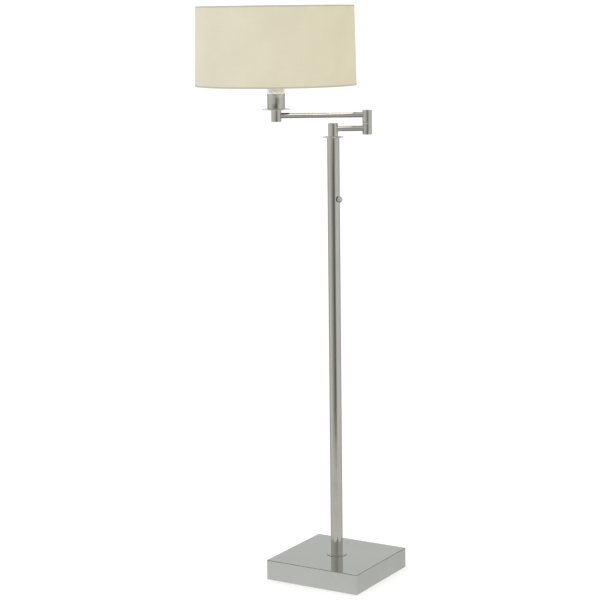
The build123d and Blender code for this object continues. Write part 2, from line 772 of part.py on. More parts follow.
shell_inner = socket_bore - 2 * screw_shell_wall
screw_shell = label(
    ring(socket_reach, shell_bottom, sleeve_top - shell_top_gap, socket_bore, shell_inner), "screw_shell"
)
contact_top = bulb_cap_bottom - bulb_tip_height
with BuildPart() as centre_contact:
    with BuildSketch(level_plane(socket_reach, contact_stem_bottom)):
        Circle(contact_stem_diameter / 2)
    extrude(amount=contact_top - contact_stem_bottom)
    with BuildSketch(level_plane(socket_reach, contact_top - contact_thickness)):
        Circle(contact_diameter / 2)
    extrude(amount=contact_thickness)
label(centre_contact, "centre_contact")

with BuildPart() as bulb_cap:
    with BuildSketch(level_plane(socket_reach, bulb_cap_bottom)):
        Circle(bulb_cap_diameter / 2)
    extrude(amount=bulb_cap_height)
    with BuildSketch(level_plane(socket_reach, contact_top)):
        Circle(bulb_tip_diameter / 2)
    extrude(amount=bulb_tip_height)
label(bulb_cap, "bulb_cap")


def bulb_outline(wall):
    """Half of the bulb's round section, drawn inward by a wall, from its neck to its crown."""
    neck = bulb_cap_diameter / 2 - wall
    belly = bulb_diameter / 2 - wall
    belly_height = bulb_glass_height - bulb_diameter / 2
    section = Plane(origin=along_arm(socket_reach, bulb_cap_top), x_dir=(1, 0, 0), z_dir=(0, -1, 0))
    with BuildSketch(section) as outline:
        with BuildLine():
            Line((0, 0), (neck, 0))
            Line((neck, 0), (neck, bulb_neck_height))
            Spline((neck, bulb_neck_height), (belly, belly_height), tangents=((0, 1), (0, 1)))
            RadiusArc((belly, belly_height), (0, belly_height + belly), -belly)
            Line((0, belly_height + belly), (0, 0))
        make_face()
    return outline.sketch


bulb_axis = Axis(along_arm(socket_reach, 0), (0, 0, 1))
with BuildPart() as bulb_glass:
    revolve(bulb_outline(0), axis=bulb_axis)
    revolve(bulb_outline(bulb_glass_wall), axis=bulb_axis, mode=Mode.SUBTRACT)
label(bulb_glass, "bulb_glass")

# Shade: a fitter clamped on the socket, wire rings, a stiff liner, its fabric and the taped edges
with BuildPart() as shade_clamp_ring:
    with BuildSketch(level_plane(socket_reach, fitter_top)):
        Circle(clamp_ring_diameter / 2)
        Circle(socket_sleeve_diameter / 2, mode=Mode.SUBTRACT)
        with PolarLocations(clamp_ring_diameter / 2, clamp_ring_notches):
            Circle(clamp_notch_radius, mode=Mode.SUBTRACT)
    extrude(amount=clamp_ring_height)
label(shade_clamp_ring, "shade_clamp_ring")

shade_axis = Axis(along_arm(socket_reach, 0), (0, 0, 1))
shade_section = Plane(origin=along_arm(socket_reach, 0), x_dir=(1, 0, 0), z_dir=(0, -1, 0))
bottom_wire_height = shade_bottom + wire_lift
bottom_wire_radius = shade_radius(bottom_wire_height) - wire_inset
top_wire_height = shade_top - wire_lift
top_wire_radius = shade_radius(top_wire_height) - wire_inset

with BuildPart() as shade_fitter:
    with BuildSketch(level_plane(socket_reach, collar_top)):
        Circle(fitter_ring_diameter / 2)
        Circle(socket_sleeve_diameter / 2, mode=Mode.SUBTRACT)
    extrude(amount=fitter_ring_thickness)
    with BuildSketch(shade_section):
        with Locations((bottom_wire_radius, bottom_wire_height)):
            Circle(wire_diameter / 2)
    revolve(axis=shade_axis)
    for spoke in range(spoke_count):
        outward = Vector(1, 0, 0).rotate(Axis.Z, first_spoke_yaw + 360 / spoke_count * spoke)
        start = along_arm(socket_reach, collar_top + fitter_ring_thickness / 2)
        start += outward * (fitter_ring_diameter / 2 - spoke_inset)
        end = along_arm(socket_reach, bottom_wire_height) + outward * bottom_wire_radius
        with BuildSketch(Plane(origin=start, z_dir=end - start)):
            Circle(spoke_diameter / 2)
        extrude(amount=(end - start).length)
label(shade_fitter, "shade_fitter")

with BuildPart() as shade_top_ring:
    with BuildSketch(shade_section):
        with Locations((top_wire_radius, top_wire_height)):
            Circle(wire_diameter / 2)
    revolve(axis=shade_axis)
label(shade_top_ring, "shade_top_ring")


def drum(inset, thickness):
    """One layer of the tapered drum, between the taped edges."""
    low = shade_bottom + tape_thickness
    high = shade_top - tape_thickness
    with BuildPart() as piece:
        with BuildSketch(shade_section):
            with BuildLine():
                Polyline(
                    (shade_radius(low) - inset, low),
                    (shade_radius(high) - inset, high),
                    (shade_radius(high) - inset - thickness, high),
                    (shade_radius(low) - inset - thickness, low),
                    close=True,
                )
            make_face()
        revolve(axis=shade_axis)
    return piece


shade_fabric = label(drum(tape_thickness, fabric_thickness), "shade_fabric")
shade_liner = label(drum(tape_thickness + fabric_thickness, liner_thickness), "shade_liner")


def edge_tape(edge, inward, notches=0):
    """A tape folded over one edge of the drum and round its wire; inward is +1 at the bottom, -1 on top.

    Notches let the spokes of the fitter through the inner fold.
    """
    outer_end = edge + inward * tape_outer_height
    inner_end = edge + inward * tape_inner_height
    fold = edge + inward * tape_thickness
    inner_radius = shade_radius(edge) - wire_inset - wire_diameter / 2 - wire_wrap_clearance - tape_thickness
    with BuildPart() as piece:
        with BuildSketch(shade_section):
            with BuildLine():
                Polyline(
                    (shade_radius(edge), edge),
                    (shade_radius(outer_end), outer_end),
                    (shade_radius(outer_end) - tape_thickness, outer_end),
                    (shade_radius(fold) - tape_thickness, fold),
                    (inner_radius + tape_thickness, fold),
                    (inner_radius + tape_thickness, inner_end),
                    (inner_radius, inner_end),
                    (inner_radius, edge),
                    close=True,
                )
            make_face()
        revolve(axis=shade_axis)
        if notches:
            notch_radius = bottom_wire_radius - tape_notch_inset
            with BuildSketch(Plane(origin=along_arm(socket_reach, fold))):
                with PolarLocations(notch_radius, notches, start_angle=first_spoke_yaw):
                    Rectangle(tape_notch_depth, spoke_diameter + 2 * tape_notch_clearance)
            extrude(amount=tape_inner_height, mode=Mode.SUBTRACT)
    return piece


shade_top_tape = label(edge_tape(shade_top, -1), "shade_top_tape")
shade_bottom_tape = label(edge_tape(shade_bottom, 1, spoke_count), "shade_bottom_tape")

os.makedirs("parts", exist_ok=True)
for piece in pieces:
    export_step(piece.part, f"parts/{piece.part.label}.step")
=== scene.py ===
"""The looks of an adjustable arm floor lamp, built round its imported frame."""

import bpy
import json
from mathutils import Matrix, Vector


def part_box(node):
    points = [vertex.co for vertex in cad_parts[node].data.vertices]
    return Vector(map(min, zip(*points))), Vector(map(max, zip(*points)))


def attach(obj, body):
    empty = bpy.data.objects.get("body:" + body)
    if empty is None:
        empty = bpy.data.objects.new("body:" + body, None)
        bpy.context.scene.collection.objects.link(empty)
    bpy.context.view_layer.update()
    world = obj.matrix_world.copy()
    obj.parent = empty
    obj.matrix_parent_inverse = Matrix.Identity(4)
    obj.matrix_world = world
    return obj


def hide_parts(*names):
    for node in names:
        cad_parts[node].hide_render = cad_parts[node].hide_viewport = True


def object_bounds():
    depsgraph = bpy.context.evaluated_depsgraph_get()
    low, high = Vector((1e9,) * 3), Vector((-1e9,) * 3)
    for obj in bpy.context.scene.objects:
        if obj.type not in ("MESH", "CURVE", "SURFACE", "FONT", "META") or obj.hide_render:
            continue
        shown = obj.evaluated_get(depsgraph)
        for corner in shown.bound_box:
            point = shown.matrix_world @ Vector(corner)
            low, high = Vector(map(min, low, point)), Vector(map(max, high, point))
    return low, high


bl_info = {
    "name": "Adjustable Arm Floor Lamp",
    "version": (1, 0, 0),
    "blender": (4, 5, 0),
    "location": "3D View > Sidebar > Floor Lamp",
    "description": "Cloth drum shade, polished metalwork, socket, bulb and studio for a swing arm floor lamp",
    "category": "Object",
}

import json
import math

import bmesh
import bpy
from bpy.props import FloatProperty, FloatVectorProperty, IntProperty, PointerProperty
from bpy.types import Operator, Panel, PropertyGroup
from mathutils import Matrix, Vector, noise

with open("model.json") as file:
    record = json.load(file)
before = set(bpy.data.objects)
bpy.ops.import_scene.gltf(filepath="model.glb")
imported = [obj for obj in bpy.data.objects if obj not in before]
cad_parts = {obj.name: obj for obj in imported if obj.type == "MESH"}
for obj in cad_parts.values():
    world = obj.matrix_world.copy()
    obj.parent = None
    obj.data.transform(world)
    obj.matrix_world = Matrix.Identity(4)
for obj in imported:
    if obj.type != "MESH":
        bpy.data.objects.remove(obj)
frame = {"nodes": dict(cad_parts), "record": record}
cad_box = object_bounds()

UPPER_ARM = "upper_arm"
MM = 0.001
SHARP_ANGLE = math.radians(38)

# How bright the studio looks in polished metal: round the lamp in degrees to the right of the camera, the same
# close to the camera's own level, and from straight down to straight up in degrees above the horizon.
SIDE_BANDS = (
    (-180, 0.30), (-168, 0.32), (-150, 0.56), (-120, 0.72), (-102, 0.95), (-75, 0.98), (-50, 0.70), (-29, 0.46),
    (-14, 0.29), (3, 0.18), (16, 0.32), (24, 0.66), (33, 0.95), (64, 1.00), (102, 0.95), (120, 0.72), (150, 0.56),
    (168, 0.32), (180, 0.30),
)
LEVEL_BANDS = (
    (-180, 0.30), (-150, 0.56), (-120, 0.80), (-102, 0.98), (-75, 0.97), (-55, 0.88), (-38, 0.82), (-22, 0.74),
    (-10, 0.62), (-5, 0.28), (4, 0.24), (9, 0.46), (33, 0.60), (45, 0.88), (55, 0.98), (102, 0.95), (120, 0.72),
    (150, 0.56), (180, 0.30),
)
HEIGHT_BANDS = (
    (-90, 0.46), (-48, 0.46), (-34, 1.00), (-17.7, 1.00), (-16.8, 0.92), (-10, 0.92), (8, 0.82), (17, 0.77),
    (55, 0.92), (90, 0.96),
)

# The Z of a direction at which one set of bands begins and has fully taken over from the one before it.
SIDES_FROM = (math.sin(math.radians(-14.8)), math.sin(math.radians(-13.0)))
SIDES_UNTIL = (0.42, 0.26)
LEVEL_FROM = (-0.078, -0.07)
UPPER_FROM = (0.02, 0.13)
# The X and the Z of a direction between which the far side behind the lamp darkens below the level.
BEHIND_DEPTH = (-0.2, -0.95)
BEHIND_RISE = (0.04, -0.04)
BEHIND_LOSS = 0.5

SOFTBOX_SIZE = (2.4, 1.6)
SOFTBOX_PLACE = (-0.4, -1.6, 3.0)
SOFTBOX_AIM = (0, 0, 0.8)
FLOOR_SIDES = 96
FLOOR_GAP = 0.2 * MM
FLOOR_HUB = 10 * MM

TURNED_SIDES = 160
CLOTH_ROWS = 46
SEAM_OFFSET = math.radians(62)
SEAM_START = 2.5 * MM
SEAM_FADE = 1.2 * MM
GATHER_DEPTH = 0.08 * MM

CUP_SOFT_EDGE = 1.2 * MM
SKIRT_BORE = 17.0 * MM
SKIRT_SIDES = 128
SKIRT_ROWS_PER_THREAD = 12
SKIRT_END_DEPTH = 0.4

FIRST_SPOKE = math.radians(90)
RING_WELD = 1.5 * MM
FITTER_WELD = 1.7 * MM


# ---------------------------------------------------------------- places from the frame


def middle(node):
    """The centre of a CAD node's box."""
    low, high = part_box(node)
    return (low + high) / 2


def width(node):
    """The X size of a CAD node's box, which is a round node's diameter."""
    low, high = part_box(node)
    return high.x - low.x


def shade_place():
    """The shade's axis, and its lower and upper edges with the outer radius at each."""
    low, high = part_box("shade_bottom_tape")
    top_low, top_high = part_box("shade_top_tape")
    axis = middle("shade_bottom_tape")
    lower_radius = (high.x - low.x) / 2
    upper_radius = (top_high.x - top_low.x) / 2
    return axis, low.z, top_high.z, lower_radius, upper_radius


# ---------------------------------------------------------------- settings


class StageSettings(PropertyGroup):
    """Camera, floor and light."""

    azimuth: FloatProperty(
        name="Camera Azimuth", description="Turn of the camera round the lamp",
        default=math.radians(30.98), subtype="ANGLE", unit="ROTATION",
    )
    pitch: FloatProperty(
        name="Camera Pitch", description="Downward tilt of the camera",
        default=math.radians(9.228), subtype="ANGLE", unit="ROTATION",
    )
    roll: FloatProperty(
        name="Camera Roll", description="Sideways lean of the camera",
        default=math.radians(0.69), subtype="ANGLE", unit="ROTATION",
    )
    distance: FloatProperty(
        name="Camera Distance", description="Level distance from the pole to the camera",
        default=4.0552, subtype="DISTANCE", unit="LENGTH",
    )
    height: FloatProperty(
        name="Camera Height", description="Height of the camera above the floor",
        default=1.3243, subtype="DISTANCE", unit="LENGTH",
    )
    sideways: FloatProperty(
        name="Camera Sideways", description="Shift of the camera to its own right",
        default=-0.0811, subtype="DISTANCE", unit="LENGTH",
    )
    focal_length: FloatProperty(
        name="Focal Length", description="Focal length for a 36 mm wide sensor",
        default=105.29, subtype="DISTANCE_CAMERA",
    )
    floor_radius: FloatProperty(
        name="Floor Radius", description="Reach of the pale floor from the pole before it has faded out",
        default=1.55, subtype="DISTANCE", unit="LENGTH",
    )
    floor_colour: FloatVectorProperty(
        name="Floor Colour", description="Colour of the pale floor",
        default=(0.5, 0.5, 0.5), subtype="COLOR", size=3, min=0, max=1,
    )
    floor_glow: FloatProperty(
        name="Floor Glow", description="Light that the floor gives off, which keeps contact shadows faint",
        default=0.56, min=0, max=2,
    )
    left_tint: FloatVectorProperty(
        name="Left Tint", description="Tint of the light from the camera's left",
        default=(0.985, 0.99, 1.0), subtype="COLOR", size=3, min=0, max=1,
    )
    right_tint: FloatVectorProperty(
        name="Right Tint", description="Tint of the light from the camera's right",
        default=(0.98, 0.955, 0.835), subtype="COLOR", size=3, min=0, max=1,
    )
    studio_light: FloatProperty(
        name="Studio Light", description="Strength of the even light from all round", default=1.08,
    )
    softbox_power: FloatProperty(
        name="Softbox Power", description="Power of the soft light over the lamp",
        default=6.0, subtype="POWER", unit="POWER",
    )


class ShadeSettings(PropertyGroup):
    """Drum shade."""

    cloth_colour: FloatVectorProperty(
        name="Cloth Colour", description="Colour of the woven cloth",
        default=(0.668, 0.628, 0.5), subtype="COLOR", size=3, min=0, max=1,
    )
    # The trim colour is the cloth's in a darker tone. It is painted shade along the rolled edges, on top of the real
    # shade of the fold.
    trim_shaded_colour: FloatVectorProperty(
        name="Trim Colour", description="Colour of the rolled edges",
        default=(0.5, 0.49, 0.405), subtype="COLOR", size=3, min=0, max=1,
    )
    # The liner glow is painted light: a glow on the liner that stands in for the lamp-lit inside of the shade.
    liner_glow: FloatProperty(
        name="Liner Glow", description="How brightly the inside of the shade shows in mirror finishes",
        default=2.1, min=0, max=10,
    )
    trim_height: FloatProperty(
        name="Trim Height", description="Visible height of the rolled edges",
        default=3.5 * MM, subtype="DISTANCE", unit="LENGTH", precision=5,
    )
    trim_depth: FloatProperty(
        name="Trim Depth", description="How far the lower rolled edge reaches in under the wire",
        default=5.2 * MM, subtype="DISTANCE", unit="LENGTH", precision=5,
    )
    trim_thickness: FloatProperty(
        name="Trim Thickness", description="Thickness of the rolled edges",
        default=0.3 * MM, subtype="DISTANCE", unit="LENGTH", precision=5,
    )
    cloth_thickness: FloatProperty(
        name="Cloth Thickness", description="Thickness of the cloth",
        default=0.45 * MM, subtype="DISTANCE", unit="LENGTH", precision=5,
    )
    thread_pitch: FloatProperty(
        name="Thread Pitch", description="Distance between neighbouring threads",
        default=0.62 * MM, subtype="DISTANCE", unit="LENGTH", precision=5,
    )
    unevenness: FloatProperty(
        name="Unevenness", description="How far the stretched cloth wanders from a true drum",
        default=0.22 * MM, subtype="DISTANCE", unit="LENGTH", precision=5,
    )
    seam_width: FloatProperty(
        name="Seam Width", description="Width of the lapped seam at the back",
        default=11 * MM, subtype="DISTANCE", unit="LENGTH",
    )
    wire_diameter: FloatProperty(
        name="Wire Diameter", description="Diameter of the shade's wire rings",
        default=3.0 * MM, subtype="DISTANCE", unit="LENGTH", precision=5,
    )
    fitter_radius: FloatProperty(
        name="Fitter Radius", description="Outer radius of the ring that sits on the socket",
        default=27.0 * MM, subtype="DISTANCE", unit="LENGTH", precision=5,
    )
    spokes: IntProperty(
        name="Spokes", description="Spokes between the fitter and the lower wire", default=3, min=2, max=6,
    )
    columns: IntProperty(
        name="Columns", description="Mesh columns round the drum", default=384, min=48, max=1024,
    )


class MetalSettings(PropertyGroup):
    """Polished and plated metal."""

    nickel_colour: FloatVectorProperty(
        name="Nickel Colour", description="Colour of the polished nickel",
        default=(0.422, 0.416, 0.382), subtype="COLOR", size=3, min=0, max=1,
    )
    base_colour: FloatVectorProperty(
        name="Base Colour", description="Colour of the plate on the base",
        default=(0.43, 0.445, 0.415), subtype="COLOR", size=3, min=0, max=1,
    )
    polish: FloatProperty(
        name="Polish", description="Roughness of clean polished metal", default=0.07, min=0, max=1,
    )
    haze: FloatProperty(
        name="Haze", description="Added roughness where the polish is smudged", default=0.06, min=0, max=1,
    )
    edge_width: FloatProperty(
        name="Edge Width", description="Width of the softened, brighter edges",
        default=0.35 * MM, subtype="DISTANCE", unit="LENGTH", precision=5,
    )


class SocketSettings(PropertyGroup):
    """Socket and bulb."""

    body_colour: FloatVectorProperty(
        name="Body Colour", description="Colour of the moulded socket",
        default=(0.80, 0.78, 0.71), subtype="COLOR", size=3, min=0, max=1,
    )
    # The skirt colour is the socket body's pale phenolic made darker grey. It is painted shade for the skirt under
    # the drum, not a grey rubbed in by metal.
    skirt_shaded_colour: FloatVectorProperty(
        name="Skirt Colour", description="Colour of the threaded skirt, rubbed grey by the metal round it",
        default=(0.6, 0.59, 0.55), subtype="COLOR", size=3, min=0, max=1,
    )
    thread_pitch: FloatProperty(
        name="Thread Pitch", description="Pitch of the coarse thread on the socket's skirt",
        default=2.4 * MM, subtype="DISTANCE", unit="LENGTH", precision=5,
    )
    thread_depth: FloatProperty(
        name="Thread Depth", description="Depth of the coarse thread on the socket's skirt",
        default=0.8 * MM, subtype="DISTANCE", unit="LENGTH", precision=5,
    )
    cup_wall: FloatProperty(
        name="Cup Wall", description="Wall of the spun cup round the socket",
        default=1.0 * MM, subtype="DISTANCE", unit="LENGTH", precision=5,
    )
    bulb_glow: FloatProperty(
        name="Bulb Glow", description="Strength of the light from the bulb", default=0.4, min=0, max=500,
    )


# ---------------------------------------------------------------- node trees


class Graph:
    """A node tree with short calls to add and join its nodes."""

    def __init__(self, tree):
        self.tree = tree
        tree.nodes.clear()

    def feed(self, socket, value):
        if isinstance(value, bpy.types.NodeSocket):
            self.tree.links.new(value, socket)
        else:
            socket.default_value = value

    def add(self, kind, inputs=None, **settings):
        node = self.tree.nodes.new(kind)
        for name, value in settings.items():
            setattr(node, name, value)
        for socket, value in (inputs or {}).items():
            self.feed(node.inputs[socket], value)
        return node

    def math(self, operation, *operands, clamp=False):
        node = self.add("ShaderNodeMath", operation=operation, use_clamp=clamp)
        for socket, value in zip(node.inputs, operands):
            self.feed(socket, value)
        return node.outputs[0]

    def remap(self, value, low, high, to_low=0.0, to_high=1.0):
        node = self.add(
            "ShaderNodeMapRange", {0: value, 1: low, 2: high, 3: to_low, 4: to_high}, interpolation_type="SMOOTHSTEP"
        )
        return node.outputs[0]

    def noise(self, vector, scale, detail=3.0, roughness=0.5):
        node = self.add(
            "ShaderNodeTexNoise", {"Vector": vector, "Scale": scale, "Detail": detail, "Roughness": roughness}
        )
        return node.outputs[0]

    def ramp(self, share, stops):
        """A grey ramp through (position, value) stops, in order."""
        node = self.add("ShaderNodeValToRGB", {0: share})
        elements = node.color_ramp.elements
        elements[0].position, elements[1].position = stops[0][0], stops[-1][0]
        for position, _ in stops[1:-1]:
            elements.new(position)
        for element, (_, value) in zip(elements, stops):
            element.color = (value, value, value, 1)
        return node.outputs[0]

    def mix(self, share, first, second):
        node = self.add("ShaderNodeMix", {0: share, 6: first, 7: second}, data_type="RGBA")
        return node.outputs[2]


def node_group(name, inputs, outputs):
    """A new shader group with named float, vector or colour sockets, as (graph, its input node, its output node)."""
    kinds = {"value": "NodeSocketFloat", "vector": "NodeSocketVector", "colour": "NodeSocketColor"}
    group = bpy.data.node_groups.new(name, "ShaderNodeTree")
    for label, kind, default in inputs:
        socket = group.interface.new_socket(label, in_out="INPUT", socket_type=kinds[kind])
        socket.default_value = default
    for label, kind in outputs:
        group.interface.new_socket(label, in_out="OUTPUT", socket_type=kinds[kind])
    graph = Graph(group)
    return graph, graph.add("NodeGroupInput"), graph.add("NodeGroupOutput")


def place_group(graph, name, inputs):
    """One use of a shader group in a material."""
    node = graph.add("ShaderNodeGroup", node_tree=bpy.data.node_groups[name])
    for label, value in inputs.items():
        graph.feed(node.inputs[label], value)
    return node.outputs


def make_smudges():
    """Smudges: a soft mask of handled and wiped patches, with finer specks in it."""
    graph, start, end = node_group(
        "smudges",
        [("Place", "vector", (0, 0, 0)), ("Scale", "value", 14.0)],
        [("Mask", "value"), ("Waviness", "value")],
    )
    place, scale = start.outputs["Place"], start.outputs["Scale"]
    patches = graph.remap(graph.noise(place, scale, 4.0, 0.62), 0.42, 0.72)
    specks = graph.remap(graph.noise(place, graph.math("MULTIPLY", scale, 26.0), 2.0), 0.55, 0.8)
    graph.feed(end.inputs["Mask"], graph.math("MAXIMUM", patches, graph.math("MULTIPLY", specks, 0.35)))
    waves = graph.noise(place, graph.math("MULTIPLY", scale, 0.9), 1.0, 0.3)
    graph.feed(end.inputs["Waviness"], waves)


def make_edge_mask():
    """Edge mask: 1 on sharp edges, 0 on flats, broken up by a little noise."""
    graph, start, end = node_group(
        "worn_edges",
        [("Place", "vector", (0, 0, 0)), ("Width", "value", 0.0004)],
        [("Mask", "value")],
    )
    bevel = graph.add("ShaderNodeBevel", {"Radius": start.outputs["Width"]}, samples=4)
    plain = graph.add("ShaderNodeNewGeometry")
    normals = {0: bevel.outputs[0], 1: plain.outputs["Normal"]}
    agreement = graph.add("ShaderNodeVectorMath", normals, operation="DOT_PRODUCT").outputs["Value"]
    edge = graph.remap(agreement, 0.995, 0.9)
    broken = graph.remap(graph.noise(start.outputs["Place"], 160.0, 3.0), 0.3, 0.7, 0.45, 1.0)
    graph.feed(end.inputs["Mask"], graph.math("MULTIPLY", edge, broken))


def make_grain():
    """Fine grain: an even tooth for moulded, cast and painted surfaces."""
    graph, start, end = node_group(
        "fine_grain",
        [("Place", "vector", (0, 0, 0)), ("Scale", "value", 900.0), ("Contrast", "value", 0.5)],
        [("Height", "value"), ("Tone", "value")],
    )
    fine = graph.noise(start.outputs["Place"], start.outputs["Scale"], 5.0, 0.65)
    broad = graph.noise(start.outputs["Place"], graph.math("MULTIPLY", start.outputs["Scale"], 0.06), 3.0)
    graph.feed(end.inputs["Height"], fine)
    both = graph.math("ADD", graph.math("MULTIPLY", fine, 0.4), graph.math("MULTIPLY", broad, 0.6))
    centred = graph.math("MULTIPLY", graph.math("SUBTRACT", both, 0.5), start.outputs["Contrast"])
    graph.feed(end.inputs["Tone"], graph.math("ADD", centred, 0.5, clamp=True))


def drawn_out_noise(graph, around, rise, around_scale, rise_scale):
    """Noise that is drawn out along one set of threads."""
    scaled = {0: graph.math("MULTIPLY", around, around_scale), 1: graph.math("MULTIPLY", rise, rise_scale)}
    return graph.noise(graph.add("ShaderNodeCombineXYZ", scaled).outputs[0], 1.0, 2.0)


def make_weave():
    """Plain weave round an upright axis: the height of the threads, and a tone that has slubs in it."""
    graph, start, end = node_group(
        "plain_weave",
        [("Place", "vector", (0, 0, 0)), ("Radius", "value", 0.18), ("Pitch", "value", 0.0006)],
        [("Height", "value"), ("Tone", "value")],
    )
    parts = graph.add("ShaderNodeSeparateXYZ", {0: start.outputs["Place"]}).outputs
    angle = graph.math("ARCTAN2", parts["Y"], parts["X"])
    around = graph.math("MULTIPLY", angle, start.outputs["Radius"])
    wander = graph.math("MULTIPLY", graph.noise(start.outputs["Place"], 60.0, 2.0), start.outputs["Pitch"])
    turn = graph.math("DIVIDE", math.pi, start.outputs["Pitch"])
    warp = graph.math("MULTIPLY", graph.math("ADD", around, wander), turn)
    weft = graph.math("MULTIPLY", graph.math("ADD", parts["Z"], wander), turn)
    warp_top = graph.math("ABSOLUTE", graph.math("COSINE", warp))
    weft_top = graph.math("ABSOLUTE", graph.math("COSINE", weft))
    crossing = graph.math("MULTIPLY", graph.math("SINE", warp), graph.math("SINE", weft))
    over = graph.remap(crossing, -0.25, 0.25)
    under = graph.math("SUBTRACT", 1.0, over)
    threads = graph.math(
        "ADD", graph.math("MULTIPLY", warp_top, over), graph.math("MULTIPLY", weft_top, under)
    )
    along, across = 26.0, 1500.0
    weft_slub = drawn_out_noise(graph, around, parts["Z"], along, across)
    warp_slub = drawn_out_noise(graph, around, parts["Z"], across, along)
    cloudy = graph.noise(start.outputs["Place"], 11.0, 2.0)
    slubs = graph.math("ADD", graph.math("MULTIPLY", weft_slub, 0.32), graph.math("MULTIPLY", warp_slub, 0.26))
    tone = graph.math("ADD", slubs, graph.math("MULTIPLY", cloudy, 0.42))
    graph.feed(end.inputs["Height"], graph.math("ADD", threads, graph.math("MULTIPLY", weft_slub, 0.6)))
    graph.feed(end.inputs["Tone"], tone)


def new_material(name):
    """A material with a Principled shader joined to its output, as (material, graph, shader, object place)."""
    material = bpy.data.materials.new(name)
    material.use_nodes = True
    graph = Graph(material.node_tree)
    shader = graph.add("ShaderNodeBsdfPrincipled")
    graph.add("ShaderNodeOutputMaterial", {"Surface": shader.outputs[0]})
    place = graph.add("ShaderNodeTexCoord").outputs["Object"]
    return material, graph, shader, place


def dress(graph, shader, colour, roughness, relief):
    """Feed a shader its colour, its roughness and a bump of some (height, strength, distance)."""
    bump = graph.add("ShaderNodeBump", dict(zip(("Height", "Strength", "Distance"), relief)))
    for label, value in (("Base Color", colour), ("Roughness", roughness), ("Normal", bump.outputs[0])):
        graph.feed(shader.inputs[label], value)


def shades_of(colour, factor):
    """A colour made lighter or darker, with full alpha."""
    return (*[min(1.0, channel * factor) for channel in colour], 1.0)


# ---------------------------------------------------------------- materials


def polished_nickel():
    """Mirror plated nickel: faint waves, wiped haze, and edges a little brighter and rougher."""
    metal = bpy.context.scene.lamp_metal
    material, graph, shader, place = new_material("polished_nickel_plate")
    smudge = place_group(graph, "smudges", {"Place": place, "Scale": 16.0})
    edge = place_group(graph, "worn_edges", {"Place": place, "Width": metal.edge_width})["Mask"]
    wiped = graph.mix(smudge["Mask"], shades_of(metal.nickel_colour, 1.0), shades_of(metal.nickel_colour, 0.95))
    hazed = graph.math("MULTIPLY_ADD", smudge["Mask"], metal.haze, metal.polish)
    dress(
        graph, shader,
        colour=graph.mix(edge, wiped, shades_of(metal.nickel_colour, 1.25)),
        roughness=graph.math("MULTIPLY_ADD", edge, 0.12, hazed),
        relief=(smudge["Waviness"], 0.25, 0.00004),
    )
    shader.inputs["Metallic"].default_value = 1.0
    return material


def base_nickel():
    """The base's plate, darker and rougher along its rounded top rim."""
    metal = bpy.context.scene.lamp_metal
    material, graph, shader, place = new_material("polished_nickel_base")
    smudge = place_group(graph, "smudges", {"Place": place, "Scale": 9.0})
    facing = graph.add("ShaderNodeTexCoord").outputs["Normal"]
    rise = graph.add("ShaderNodeSeparateXYZ", {0: facing}).outputs["Z"]
    rim = graph.math("MULTIPLY", graph.remap(rise, 0.02, 0.2), graph.remap(rise, 0.995, 0.9))
    # The rounded top rim, picked by which way its faces turn, is made darker and rougher and is broken up by noise.
    dark_top_rim = graph.math("MULTIPLY", rim, graph.remap(graph.noise(place, 90.0, 3.0), 0.25, 0.6, 0.7, 1.0))
    plate = graph.mix(smudge["Mask"], shades_of(metal.base_colour, 1.0), shades_of(metal.base_colour, 0.96))
    hazed = graph.math("MULTIPLY_ADD", smudge["Mask"], metal.haze, metal.polish)
    dress(
        graph, shader,
        colour=graph.mix(dark_top_rim, plate, shades_of(metal.base_colour, 0.32)),
        roughness=graph.math("MULTIPLY_ADD", dark_top_rim, 0.2, hazed),
        relief=(smudge["Waviness"], 0.25, 0.0001),
    )
    shader.inputs["Metallic"].default_value = 1.0
    return material


def zinc_plate():
    """Bright zinc on turned steel: blue-grey, spangled and slightly scratched."""
    material, graph, shader, place = new_material("zinc_plate")
    spangle = graph.add("ShaderNodeTexVoronoi", {"Vector": place, "Scale": 420.0}).outputs["Distance"]
    grain = place_group(graph, "fine_grain", {"Place": place, "Scale": 1400.0, "Contrast": 0.7})
    edge = place_group(graph, "worn_edges", {"Place": place, "Width": 0.0003})["Mask"]
    tone = graph.mix(graph.remap(spangle, 0.1, 0.7), (0.50, 0.52, 0.54, 1), (0.62, 0.62, 0.60, 1))
    dress(
        graph, shader,
        colour=graph.mix(edge, tone, (0.72, 0.72, 0.70, 1)),
        roughness=graph.remap(grain["Tone"], 0.2, 0.8, 0.24, 0.42),
        relief=(grain["Height"], 0.15, 0.0001),
    )
    shader.inputs["Metallic"].default_value = 1.0
    return material


def cast_iron():
    """Sand-cast iron under grey primer."""
    material, graph, shader, place = new_material("cast_iron_primer")
    grain = place_group(graph, "fine_grain", {"Place": place, "Scale": 520.0, "Contrast": 1.2})
    dress(
        graph, shader,
        colour=graph.mix(grain["Tone"], (0.11, 0.11, 0.12, 1), (0.20, 0.20, 0.21, 1)),
        roughness=graph.remap(grain["Tone"], 0.2, 0.8, 0.62, 0.85),
        relief=(grain["Height"], 0.8, 0.0006),
    )
    shader.inputs["Metallic"].default_value = 0.3
    return material


def needle_felt():
    """Dense black felt with loose fibres."""
    material, graph, shader, place = new_material("needle_felt_black")
    stretched = graph.add("ShaderNodeMapping", {"Vector": place, "Scale": (900, 2400, 900), "Rotation": (0, 0, 0.5)})
    fibres = graph.noise(stretched.outputs[0], 1.0, 6.0, 0.7)
    grain = place_group(graph, "fine_grain", {"Place": place, "Scale": 700.0, "Contrast": 1.0})
    tone = graph.math("MULTIPLY", fibres, grain["Tone"])
    dress(
        graph, shader,
        colour=graph.mix(tone, (0.012, 0.012, 0.013, 1), (0.09, 0.09, 0.095, 1)),
        roughness=graph.remap(fibres, 0.3, 0.7, 0.85, 1.0),
        relief=(fibres, 0.9, 0.0008),
    )
    shader.inputs["Sheen Weight"].default_value = 0.35
    shader.inputs["Sheen Roughness"].default_value = 0.6
    return material


